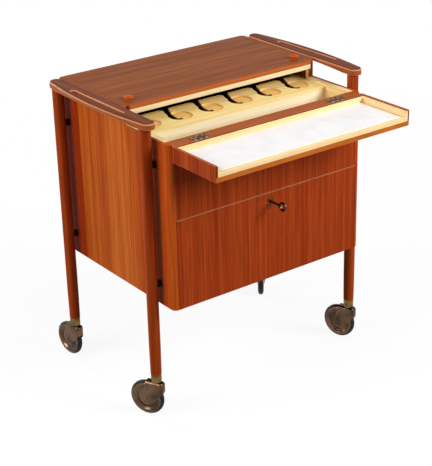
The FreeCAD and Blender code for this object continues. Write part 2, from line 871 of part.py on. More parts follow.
def key():
    shank_end = bit_front + S.bit_width
    bow_y = front_y - S.key_reach + S.bow_radius
    bow_start = -S.bow_thickness / 2, bow_y, key_z
    bow = cut(
        "key_bow",
        rod("key_bow_disc", S.bow_radius, (1, 0, 0), S.bow_thickness, bow_start),
        rod("key_bow_hole", S.bow_hole_radius, (1, 0, 0), S.bow_thickness, bow_start),
    )
    shank_y = bow_y + (S.bow_radius + S.bow_hole_radius) / 2
    collar_y = bow_y + S.bow_radius
    keep(fuse(
        "key",
        bow,
        rod("key_shank", S.shank_radius, (0, 1, 0), shank_end - shank_y, (ZERO, shank_y, key_z)),
        rod("key_collar", S.key_collar_radius, (0, 1, 0), S.key_collar_length, (ZERO, collar_y, key_z)),
        block("key_bit", across(S.bit_thickness), (bit_front, shank_end), (key_z - S.bit_length, key_z)),
    ))


def escutcheon():
    plate = new_body("escutcheon_plate")
    end_offset = (S.escutcheon_height - S.escutcheon_width) / 2
    middle_z = key_z - S.bit_length / 2
    outline = sketch_on(plate, "XZ_Plane", front_reach)
    draw_slot(outline, ZERO, middle_z - end_offset, middle_z + end_offset, S.escutcheon_width)
    pad(plate, outline, S.escutcheon_thickness)
    opening = keyhole("escutcheon", front_y - S.escutcheon_thickness, front_y)
    keep(cut("escutcheon", plate, *opening))


# Legs, spacers and handles


def leg(name, x, y):
    body = new_body("leg_" + name)
    sleeve_radius = S.ferrule_radius - S.ferrule_wall
    socket_top = ferrule_bottom + S.socket_length
    profile = draw(sketch_on(body, "XZ_Plane"), [
        (S.socket_radius, leg_bottom),
        (sleeve_radius, leg_bottom),
        (sleeve_radius, ferrule_top),
        (S.leg_foot_radius, ferrule_top),
        (S.leg_radius, ferrule_top + S.leg_taper_length),
        (S.leg_radius, handle_underside),
        (ZERO, handle_underside),
        (ZERO, socket_top),
        (S.socket_radius, socket_top),
    ])
    spin(body, profile, "V_Axis")
    keep(move(body, x, y))


def ferrule(name, x, y):
    body = new_body("ferrule_" + name)
    profile = draw(sketch_on(body, "XZ_Plane"), [
        (S.socket_radius, ferrule_bottom),
        (S.ferrule_radius, ferrule_bottom),
        (S.ferrule_radius, ferrule_top),
        (S.ferrule_radius - S.ferrule_wall, ferrule_top),
        (S.ferrule_radius - S.ferrule_wall, leg_bottom),
        (S.socket_radius, leg_bottom),
    ])
    spin(body, profile, "V_Axis")
    keep(move(body, x, y))


def socket(name, x, y):
    base = x, y, ferrule_bottom
    tube = rod(f"socket_{name}_tube", S.socket_radius, (0, 0, 1), S.socket_length, base)
    bore = rod(f"socket_{name}_bore", S.stem_radius + S.running_gap, (0, 0, 1), S.socket_length, base)
    return cut(f"socket_{name}", tube, bore)


def leg_spacers(name, sign, y):
    """Round distance pieces between the cabinet's side and a leg, hollowed where they meet the leg."""
    pieces = []
    for level, height in {"upper": S.upper_spacer_height, "lower": S.lower_spacer_height}.items():
        label = f"spacer_{name}_{level}"
        length = leg_x - half_width
        bar = rod(label + "_bar", S.spacer_radius, (sign, 0, 0), length, (sign * half_width, y, height))
        saddle_base = sign * leg_x, y, height - 2 * S.spacer_radius
        saddle = rod(label + "_saddle", S.leg_radius, (0, 0, 1), 4 * S.spacer_radius, saddle_base)
        pieces.append(cut(label, bar, saddle))
    return pieces


def handles():
    body = new_body("handle_right")
    handle_inner = half_width + S.handle_gap
    nose_radius = S.handle_end_width / 2
    nose_x = handle_inner + nose_radius
    nose_y = S.handle_length / 2 - nose_radius
    bulge = S.handle_middle_width - nose_radius
    bow_radius = (nose_y * nose_y + bulge * bulge - nose_radius * nose_radius) / (2 * (bulge - nose_radius))
    tangent = nose_radius / (bow_radius - nose_radius)
    join_x = nose_x + (bow_radius - bulge) * tangent
    join_y = nose_y + nose_y * tangent
    outline = draw(sketch_on(body, "XY_Plane", handle_underside), [
        (handle_inner, -nose_y),
        (nose_x, -nose_y - nose_radius, nose_radius),
        (join_x, -join_y, nose_radius),
        (join_x, join_y, bow_radius),
        (nose_x, nose_y + nose_radius, nose_radius),
        (handle_inner, nose_y, nose_radius),
    ])
    grip_half = (S.grip_length - S.grip_width) / 2
    grip_x = handle_inner + S.grip_offset
    draw_slot(outline, grip_x, -grip_half - S.grip_shift, grip_half - S.grip_shift, S.grip_width)
    pad(body, outline, S.handle_thickness)
    arch_half = S.handle_arch_length / 2
    arch_radius = (arch_half * arch_half + S.handle_arch_rise * S.handle_arch_rise) / (2 * S.handle_arch_rise)
    arch = draw(sketch_on(body, "YZ_Plane", handle_inner), [
        (-arch_half, handle_underside, arch_radius),
        (arch_half, handle_underside),
    ])
    arched = pocket(body, arch, 2 * S.handle_middle_width, along_normal=True)
    handle_top = handle_underside + S.handle_thickness
    grip_limits = grip_x - S.grip_width / 2, grip_x + S.grip_width / 2
    grip_edges = edges_at(arched, z=handle_top, x=grip_limits)
    outer_edges = [name for name in edges_at(arched, z=handle_top) if name not in grip_edges]
    rounded = round_edges(body, arched, S.handle_edge_round, outer_edges)
    round_edges(body, rounded, S.grip_edge_round, edges_at(rounded, z=handle_top, x=grip_limits))
    keep(body)
    keep(mirror("handle_left", body))


# Casters


class Caster:
    """A swivelling caster under one leg, with its wheel turned away from straight back by an angle."""

    def __init__(self, name, x, y, angle):
        self.name = name
        self.x = x
        self.y = y
        self.angle = angle
        self.fork()
        self.axle()
        self.hub()
        self.tyre()

    def at_stem(self, body):
        turn(body, (0, 0, 1), self.angle)
        keep(move(body, self.x, self.y))

    def at_wheel(self, body):
        turn(body, (0, 0, 1), self.angle)
        wheel_x = self.x - S.caster_trail * sine(self.angle)
        wheel_y = self.y + S.caster_trail * cosine(self.angle)
        keep(move(body, wheel_x, wheel_y, S.wheel_radius))

    def fork(self):
        """A hood pressed from plate, round at its crown and back, with two cheeks and the stem on top."""
        label = "caster_fork_" + self.name
        foot_z = S.wheel_radius - S.fork_foot_drop
        foot_y = S.caster_trail + S.fork_foot_reach
        heel_y = S.caster_trail - S.fork_foot_reach
        shell = new_body(label + "_shell")
        cheeks = pad(shell, draw(sketch_on(shell, "YZ_Plane", -fork_outside), [
            (-S.hood_back, crown_top),
            (-S.hood_back, crown_top - S.hood_skirt),
            (-S.cheek_back, crown_top - S.cheek_skirt),
            (heel_y, foot_z),
            (foot_y, foot_z),
            (foot_y, S.wheel_radius),
            (S.hood_front, crown_top - S.hood_lip),
            (S.hood_front, crown_top),
        ]), 2 * fork_outside)
        foot_edges = edges_at(cheeks, y=foot_y, z=foot_z) + edges_at(cheeks, y=heel_y, z=foot_z)
        footed = round_edges(shell, cheeks, S.fork_foot_round, foot_edges)
        round_edges(shell, footed, S.fork_fold, self.hood_edges(footed, fork_outside, -S.hood_back, crown_top))
        space = new_body(label + "_space")
        space_back = S.fork_plate - S.hood_back
        hollow = pad(space, draw_rectangle(
            sketch_on(space, "YZ_Plane", -fork_inside),
            (space_back, foot_y + S.fork_plate),
            (ZERO, crown_underside),
        ), 2 * fork_inside)
        inner_fold = S.fork_fold - S.fork_plate
        round_edges(space, hollow, inner_fold, self.hood_edges(hollow, fork_inside, space_back, crown_underside))
        axle_start = -fork_outside, S.caster_trail, S.wheel_radius
        axle_hole = rod(label + "_axle_hole", S.axle_radius, (1, 0, 0), 2 * fork_outside, axle_start)
        stem_start = ZERO, ZERO, crown_underside
        stem_length = S.crown_thickness + S.stem_length
        fork = fuse(
            label,
            cut(label + "_hood", shell, space, axle_hole),
            rod(label + "_collar", S.crown_collar_radius, (0, 0, 1), S.crown_thickness, stem_start),
            rod(label + "_stem", S.stem_radius, (0, 0, 1), stem_length, stem_start),
        )
        self.at_stem(fork)

    @staticmethod
    def hood_edges(feature, side, back, top):
        """The folds of the hood: along both sides and the back of its crown, and down its two back corners."""
        edges = edges_at(feature, z=top, y=back)
        for x in (-side, side):
            edges += edges_at(feature, z=top, x=x) + edges_at(feature, y=back, x=x)
        return edges

    def axle(self):
        body = new_body("caster_axle_" + self.name)
        head_end = fork_outside + S.axle_head_height
        face_radius = S.axle_head_radius - S.axle_head_height
        profile = draw(sketch_on(body, "XY_Plane"), [
            (-head_end, ZERO),
            (head_end, ZERO),
            (head_end, face_radius),
            (fork_outside, S.axle_head_radius, S.axle_head_height),
            (fork_outside, S.axle_radius),
            (-fork_outside, S.axle_radius),
            (-fork_outside, S.axle_head_radius),
            (-head_end, face_radius, S.axle_head_height),
        ])
        spin(body, profile, "H_Axis")
        self.at_wheel(body)

    def hub(self):
        """A pressed wheel disc with a domed centre, a groove round it and a rim that holds the tyre."""
        body = new_body("caster_hub_" + self.name)
        bore = S.axle_radius + S.running_gap
        boss = S.hub_boss_width / 2
        web = S.hub_web_width / 2
        rim = S.hub_rim_width / 2
        rim_radius = hub_radius - S.hub_rim_depth
        profile = draw(sketch_on(body, "XY_Plane"), [
            (-boss, bore),
            (boss, bore),
            (boss, S.hub_boss_radius),
            (web, S.hub_dome_radius, S.hub_dome_crown),
            (web, rim_radius),
            (rim, rim_radius),
            (rim, hub_radius),
            (-rim, hub_radius),
            (-rim, rim_radius),
            (-web, rim_radius),
            (-web, S.hub_dome_radius),
            (-boss, S.hub_boss_radius, S.hub_dome_crown),
        ])
        spin(body, profile, "H_Axis")
        self.at_wheel(body)

    def tyre(self):
        body = new_body("caster_tyre_" + self.name)
        side = S.tyre_width / 2
        rim = S.hub_rim_width / 2
        shoulder = S.wheel_radius - S.tread_round
        profile = draw(sketch_on(body, "XY_Plane"), [
            (-rim, hub_radius),
            (rim, hub_radius),
            (side, shoulder),
            (side - S.tread_round, S.wheel_radius, S.tread_round),
            (S.tread_round - side, S.wheel_radius),
            (-side, shoulder, S.tread_round),
        ])
        spin(body, profile, "H_Axis")
        self.at_wheel(body)


def running_gear():
    sockets = []
    spacers = []
    for row, row_sign in ROWS.items():
        for side, sign in SIDES.items():
            name = f"{row}_{side}"
            x = sign * leg_x
            y = row_sign * leg_y
            leg(name, x, y)
            ferrule(name, x, y)
            sockets.append(socket(name, x, y))
            spacers += leg_spacers(name, sign, y)
            Caster(name, x, y, getattr(S, "turn_" + name))
    keep(group("caster_sockets", *sockets))
    keep(group("leg_spacers", *spacers))


# The whole cart
side_panels()
corner_lips()
carcass_boards()
fascia()
glass_compartment()
glass_rack()
lid()
lid_knobs()
flap()
hinge_pair("flap", flap_hinge_seat, S.flap_leaf_length, S.flap_hinge_spacing, flap_hinge_y, flap_hinge_z, 0)
hinge_pair("lid", lid_hinge_seat, S.lid_leaf_length, S.lid_hinge_spacing, lid_hinge_y, lid_underside, -1)
door()
lock()
key()
escutcheon()
handles()
running_gear()
doc.recompute()

# Every object must have been worked out before any piece is written
for item in doc.Objects:
    if "Invalid" in item.State or "Error" in item.State:
        raise RuntimeError(f"{item.Label} failed: {item.State}")
for node in nodes:
    if node.Shape.isNull() or not node.Shape.isValid():
        raise RuntimeError(f"{node.Label} has no valid shape")
os.makedirs("parts", exist_ok=True)
for node in nodes:
    node.Shape.exportStep(f"parts/{node.Label}.step")
print(len(nodes), "pieces written")
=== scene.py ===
import json
import math

import bpy
from mathutils import Euler, Matrix, Vector


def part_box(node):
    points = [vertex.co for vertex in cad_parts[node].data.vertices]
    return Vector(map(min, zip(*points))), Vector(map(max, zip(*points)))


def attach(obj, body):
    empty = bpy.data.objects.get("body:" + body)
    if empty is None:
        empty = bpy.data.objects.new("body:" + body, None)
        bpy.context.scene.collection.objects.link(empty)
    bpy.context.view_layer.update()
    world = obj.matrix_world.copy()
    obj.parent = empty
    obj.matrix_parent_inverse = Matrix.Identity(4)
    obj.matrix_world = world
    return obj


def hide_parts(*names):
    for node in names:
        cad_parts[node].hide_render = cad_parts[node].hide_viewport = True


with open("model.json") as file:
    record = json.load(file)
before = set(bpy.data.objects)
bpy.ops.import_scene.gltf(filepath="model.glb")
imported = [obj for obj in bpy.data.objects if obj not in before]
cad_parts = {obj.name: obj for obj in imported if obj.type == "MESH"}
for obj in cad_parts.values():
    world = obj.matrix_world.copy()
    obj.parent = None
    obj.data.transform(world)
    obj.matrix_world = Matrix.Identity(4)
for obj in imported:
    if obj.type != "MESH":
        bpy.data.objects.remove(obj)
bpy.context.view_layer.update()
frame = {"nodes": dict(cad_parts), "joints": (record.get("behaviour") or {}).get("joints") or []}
NODES = frame["nodes"]
MM = 0.001


# Camera at the photograph's viewing angle

PHOTO_PIXELS = 432, 466
FOCAL_PIXELS = 1307.6
SENSOR_WIDTH = 36.0
CAMERA_PLACE = -1.530, -2.113, 1.453
CAMERA_AZIMUTH = 36.16
CAMERA_ELEVATION = 24.18
CAMERA_ROLL = -1.49


def set_camera():
    level = Euler((math.radians(90 - CAMERA_ELEVATION), 0, math.radians(-CAMERA_AZIMUTH))).to_matrix()
    roll = Matrix.Rotation(math.radians(CAMERA_ROLL), 3, "Z")
    bpy.ops.object.camera_add(location=CAMERA_PLACE, rotation=(level @ roll).to_euler())
    camera = bpy.context.object
    camera.data.sensor_width = SENSOR_WIDTH
    camera.data.lens = FOCAL_PIXELS * SENSOR_WIDTH / max(PHOTO_PIXELS)
    bpy.context.scene.camera = camera


# Building node materials

# Sockets of the Mix node when it mixes colours
FACTOR, FIRST, SECOND = 0, 6, 7
COLOUR = 2
# Cosine of an edge's turn where its tint of wear and painted light begins, and where the tint is full
EDGE_WEAR_AND_LIGHT_BEGINS = 0.97
EDGE_WEAR_AND_LIGHT_FULL = 0.75


def linear(code):
    """An sRGB hex colour as linear RGBA."""
    channels = [int(code[place:place + 2], 16) / 255 for place in (0, 2, 4)]
    return *[c / 12.92 if c <= 0.04045 else ((c + 0.055) / 1.055) ** 2.4 for c in channels], 1.0


def add(tree, kind, sockets, stops=(), **settings):
    """Adds a node, sets its properties and colour stops, and fills its sockets with values or links."""
    node = tree.nodes.new("ShaderNode" + kind)
    for name, value in settings.items():
        setattr(node, name, value)
    for number, (place, code) in enumerate(stops):
        band = node.color_ramp.elements
        element = band[number] if number < len(band) else band.new(place)
        element.position = place
        element.color = linear(code)
    for name, value in sockets.items():
        if isinstance(value, bpy.types.NodeSocket):
            tree.links.new(value, node.inputs[name])
        else:
            node.inputs[name].default_value = value
    return node


def new_material(name):
    material = bpy.data.materials.new(name)
    material.use_nodes = True
    material.node_tree.nodes.clear()
    return material, material.node_tree


def pattern(tree, across, along=None, grain="", **sockets):
    """Uneven marks so many millimetres across, drawn out along the grain where one is given."""
    scale = [1 / (across * MM)] * 3
    for axis in grain:
        scale["xyz".index(axis)] = 1 / (along * MM)
    place = add(tree, "TexCoord", {}).outputs["Object"]
    drawn = add(tree, "Mapping", {"Vector": place, "Scale": scale})
    return add(tree, "TexNoise", {"Vector": drawn.outputs[0], "Scale": 1.0, **sockets}).outputs[0]


def mask_along(tree, output, axis, start, full):
    """Rises from 0 to 1 along one axis of the surface's place (Object) or of the way it faces (Normal)."""
    vector = add(tree, "TexCoord", {}).outputs[output]
    part = add(tree, "SeparateXYZ", {"Vector": vector}).outputs["xyz".index(axis)]
    return add(tree, "MapRange", {"Value": part, "From Min": start, "From Max": full}).outputs[0]


def wear_and_light_on_edges(tree, radius):
    """A mask that is 1 on edges and 0 on flat faces, for an edge tint that is partly wear and partly painted
    highlight and shade.
    """
    rounded = add(tree, "Bevel", {"Radius": radius * MM}, samples=6)
    face = add(tree, "NewGeometry", {})
    sockets = {0: rounded.outputs[0], 1: face.outputs["Normal"]}
    turned = add(tree, "VectorMath", sockets, operation="DOT_PRODUCT").outputs["Value"]
    sockets = {"Value": turned, "From Min": EDGE_WEAR_AND_LIGHT_BEGINS, "From Max": EDGE_WEAR_AND_LIGHT_FULL}
    return add(tree, "MapRange", sockets).outputs[0]


# Finishes, with the sizes of their patterns in millimetres

# Where a wood's three tones lie between the dark and the light of its figure
TONE_PLACES = 0.4, 0.5, 0.6
BAND_LENGTH = 1200
STRIPE_LENGTH = 800
# Real pores are a third of a millimetre wide; these are drawn coarse enough to show
PORE_WIDTH = 2.4
PORE_LENGTH = 90
PORE_RELIEF = 0.2
MAPLE_BAND = 30
MAPLE_STRIPE = 11
# Radii of the edge tints, partly wear and partly painted highlight and shade
WOOD_EDGE_WEAR_AND_LIGHT = 2.0
METAL_EDGE_WEAR_AND_LIGHT = 0.9
# How far the painted shade in a metal's hollows reaches
HOLLOW_SHADE_REACH = 6
LAMINATE_WEAR = 34
SCUFF_WIDTH = 3
SCUFF_LENGTH = 40
DUSTY_PATCH = 9
OIL_IOR = 1.5
MELAMINE_IOR = 1.5
RUBBER_IOR = 1.52
# Oil leaves wood with little gloss, and so does dust on rubber and enamel
OILED_LEVEL = 0.04
DUSTY_LEVEL = 0.15


def wood(name, grain, tones, edge_wear_and_light, band, stripe, parts=(), pore_depth=0.2, gloss=0.45, level=OILED_LEVEL):
    """Bands and stripes along the grain, dark pores, and edges tinted partly as wear and partly as painted
    highlight and shade; each part is a tint and its masks.
    """
    material, tree = new_material(name)
    bands = pattern(tree, band, BAND_LENGTH, grain, Detail=2.0)
    stripes = pattern(tree, stripe, STRIPE_LENGTH, grain, Detail=3.0, Roughness=0.6, Distortion=0.15)
    pores = pattern(tree, PORE_WIDTH, PORE_LENGTH, grain, Detail=2.0)
    figure = add(tree, "Math", {0: bands, 1: stripes}, operation="ADD").outputs[0]
    halved = add(tree, "Math", {0: figure, 1: 0.5}, operation="MULTIPLY").outputs[0]
    colour = add(tree, "ValToRGB", {"Fac": halved}, stops=zip(TONE_PLACES, tones)).outputs[0]
    for tint, first, *others in parts:
        mask = mask_along(tree, *first)
        for limits in others:
            sockets = {0: mask, 1: mask_along(tree, *limits)}
            mask = add(tree, "Math", sockets, operation="MULTIPLY").outputs[0]
        sockets = {FACTOR: mask, FIRST: colour, SECOND: linear(tint)}
        colour = add(tree, "Mix", sockets, data_type="RGBA").outputs[COLOUR]
    shade = add(tree, "MapRange", {
        "Value": pores,
        "From Min": 0.36,
        "From Max": 0.6,
        "To Min": 1.0 - pore_depth,
        "To Max": 1.04,
    }).outputs[0]
    sockets = {FACTOR: 1.0, FIRST: colour, SECOND: shade}
    pored = add(tree, "Mix", sockets, data_type="RGBA", blend_type="MULTIPLY").outputs[COLOUR]
    # Edges take their tint: partly wear, partly painted highlight, and on the door painted shade
    sockets = {FACTOR: wear_and_light_on_edges(tree, WOOD_EDGE_WEAR_AND_LIGHT), FIRST: pored, SECOND: linear(edge_wear_and_light)}
    edge_worn_and_lit = add(tree, "Mix", sockets, data_type="RGBA").outputs[COLOUR]
    sheen = add(tree, "MapRange", {
        "Value": pores,
        "From Min": 0.3,
        "From Max": 0.7,
        "To Min": gloss + 0.1,
        "To Max": gloss - 0.05,
    }).outputs[0]
    relief = add(tree, "Bump", {"Height": pores, "Strength": 0.2, "Distance": PORE_RELIEF * MM}).outputs[0]
    surface = add(tree, "BsdfPrincipled", {
        "Base Color": edge_worn_and_lit,
        "Roughness": sheen,
        "Normal": relief,
        "IOR": OIL_IOR,
        "Specular IOR Level": level,
    })
    add(tree, "OutputMaterial", {"Surface": surface.outputs[0]})
    return material


def maple(name, grain, tones, edge_wear_and_light, parts=(), pore_depth=0.06, level=OILED_LEVEL):
    """Lacquered maple: close and even, with hardly any pores, and a little glossier than oiled teak."""
    return wood(name, grain, tones, edge_wear_and_light, MAPLE_BAND, MAPLE_STRIPE, parts, pore_depth, gloss=0.4, level=level)


def melamine(name):
    """Pressed laminate: near white with faint greyish wear, fine scuffs and a soft gloss."""
    material, tree = new_material(name)
    wear = pattern(tree, LAMINATE_WEAR, Detail=5.0, Roughness=0.6)
    scuffs = pattern(tree, SCUFF_WIDTH, SCUFF_LENGTH, "x", Detail=3.0)
    stops = (0.3, "ECEAEB"), (0.55, "F3F1F2"), (0.8, "F7F6F6")
    colour = add(tree, "ValToRGB", {"Fac": wear}, stops).outputs[0]
    sheen = add(tree, "MapRange", {"Value": scuffs, "To Min": 0.28, "To Max": 0.45}).outputs[0]
    sockets = {"Base Color": colour, "Roughness": sheen, "IOR": MELAMINE_IOR}
    surface = add(tree, "BsdfPrincipled", sockets)
    add(tree, "OutputMaterial", {"Surface": surface.outputs[0]})
    return material


def metal(name, deep, body, bright, blotch, roughness, reach=HOLLOW_SHADE_REACH):
    """Aged metal: tarnish in soft blotches, painted shade in its corners from ambient occlusion, and edges
    painted bright, partly wear and partly painted highlight.
    """
    material, tree = new_material(name)
    tarnish = pattern(tree, blotch, Detail=3.0, Roughness=0.5)
    colour = add(tree, "ValToRGB", {"Fac": tarnish}, stops=[(0.4, deep), (0.6, body)]).outputs[0]
    # Painted shade: darker where ambient occlusion finds a hollow
    hollows = add(tree, "AmbientOcclusion", {"Distance": reach * MM}, samples=8).outputs["AO"]
    open_face = add(tree, "MapRange", {
        "Value": hollows,
        "From Min": 0.35,
        "From Max": 0.9,
        "To Min": 0.3,
    }).outputs[0]
    sockets = {FACTOR: 1.0, FIRST: colour, SECOND: open_face}
    shaded_in_hollows = add(tree, "Mix", sockets, data_type="RGBA", blend_type="MULTIPLY").outputs[COLOUR]
    sockets = {FACTOR: wear_and_light_on_edges(tree, METAL_EDGE_WEAR_AND_LIGHT), FIRST: shaded_in_hollows, SECOND: linear(bright)}
    edge_worn_and_lit = add(tree, "Mix", sockets, data_type="RGBA").outputs[COLOUR]
    sheen = add(tree, "MapRange", {
        "Value": tarnish,
        "From Min": 0.35,
        "From Max": 0.65,
        "To Min": roughness + 0.12,
        "To Max": roughness - 0.04,
    }).outputs[0]
    sockets = {"Base Color": edge_worn_and_lit, "Metallic": 1.0, "Roughness": sheen}
    surface = add(tree, "BsdfPrincipled", sockets)
    add(tree, "OutputMaterial", {"Surface": surface.outputs[0]})
    return material


def black(name, deep, body, roughness):
    """Rubber or enamel: nearly black, with a dusty bloom in patches."""
    material, tree = new_material(name)
    bloom = pattern(tree, DUSTY_PATCH, Detail=5.0, Roughness=0.6)
    colour = add(tree, "ValToRGB", {"Fac": bloom}, stops=[(0.35, deep), (0.68, body)]).outputs[0]
    sockets = {"Value": bloom, "To Min": roughness - 0.06, "To Max": roughness + 0.08}
    sheen = add(tree, "MapRange", sockets).outputs[0]
    surface = add(tree, "BsdfPrincipled", {
        "Base Color": colour,
        "Roughness": sheen,
        "IOR": RUBBER_IOR,
        "Specular IOR Level": DUSTY_LEVEL,
    })
    add(tree, "OutputMaterial", {"Surface": surface.outputs[0]})
    return material


# Masks by the way a face points

FACES_FRONT = "Normal", "y", -0.5, -0.85
FACES_BACK = "Normal", "y", 0.5, 0.85
FACES_DOWN = "Normal", "z", -0.5, -0.85
FACES_UP = "Normal", "z", 0.5, 0.85
FACES_LEFT = "Normal", "x", -0.4, -0.7
FACES_RIGHT = "Normal", "x", 0.4, 0.7
FACES_ASIDE = "Normal", "z", 0.8, 0.4


# Masks by place

RACK_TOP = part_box("rack")[1][2]
RACK_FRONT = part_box("rack")[0][1]
LID_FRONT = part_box("lid_board")[0][1]
HANDLE_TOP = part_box("handle_left")[1][2]
FLAP_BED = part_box("flap_bed")[0][2]
DOOR_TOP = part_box("door_panel")[1][2]
IN_DISH = (
    ("Object", "z", RACK_TOP - 0.6 * MM, RACK_TOP - 2.2 * MM),
    ("Object", "y", RACK_FRONT + 8 * MM, RACK_FRONT + 12 * MM),
)
# Painted shade: the inside below the rack is painted near black
UNDER_RACK = (
    ("Object", "z", RACK_TOP - 8 * MM, RACK_TOP - 12 * MM),
    ("Object", "y", RACK_FRONT, RACK_FRONT + 6 * MM),
)
UNDER_LID = (
    ("Object", "z", RACK_TOP + 0.5 * MM, RACK_TOP + 1.5 * MM),
    ("Object", "y", LID_FRONT + 8 * MM, LID_FRONT + 12 * MM),
)
# Painted shade of the legs: darker, redder strips along the rear and front edges of the side panels
REAR_LEG_SHADE = "Object", "y", 114 * MM, 119 * MM
FRONT_LEG_SHADE = "Object", "y", -96 * MM, -106 * MM
# Painted highlight along the handles' upper edges
HANDLE_EDGE_HIGHLIGHT = "Object", "z", HANDLE_TOP - 5.0 * MM, HANDLE_TOP - 2.5 * MM
FLAP_BASE = "Object", "z", FLAP_BED + 4.5 * MM, FLAP_BED + 3.5 * MM
# Painted highlight along the door's top edge
DOOR_TOP_HIGHLIGHT = "Object", "z", DOOR_TOP - 2.2 * MM, DOOR_TOP - 1.8 * MM


# Tones of the veneers and boards, from the dark of the figure to its light, and the near black of the painted
# shade inside

SIDE_TEAK = "AE4B12", "BB5715", "C86826"
FRONT_TEAK = "98340F", "A23C13", "AC4618"
MAPLE = "F0D68E", "F6E0A2", "FBEABC"
PALE_MAPLE = "FAEBB2", "FDF2C6", "FEF6D6"
RACK_MAPLE = "FADB8A", "FDE49A", "FFEBAE"
LINING_MAPLE = "F0CA80", "F6D48E", "FADEA0"
LID_MAPLE = "EAD4A2", "F0DCAE", "F5E5BE"
FLAP_MAPLE = "F0C88C", "F6D094", "F9DAA4"
INTERIOR_SHADE_COLOUR = "2A1A12"

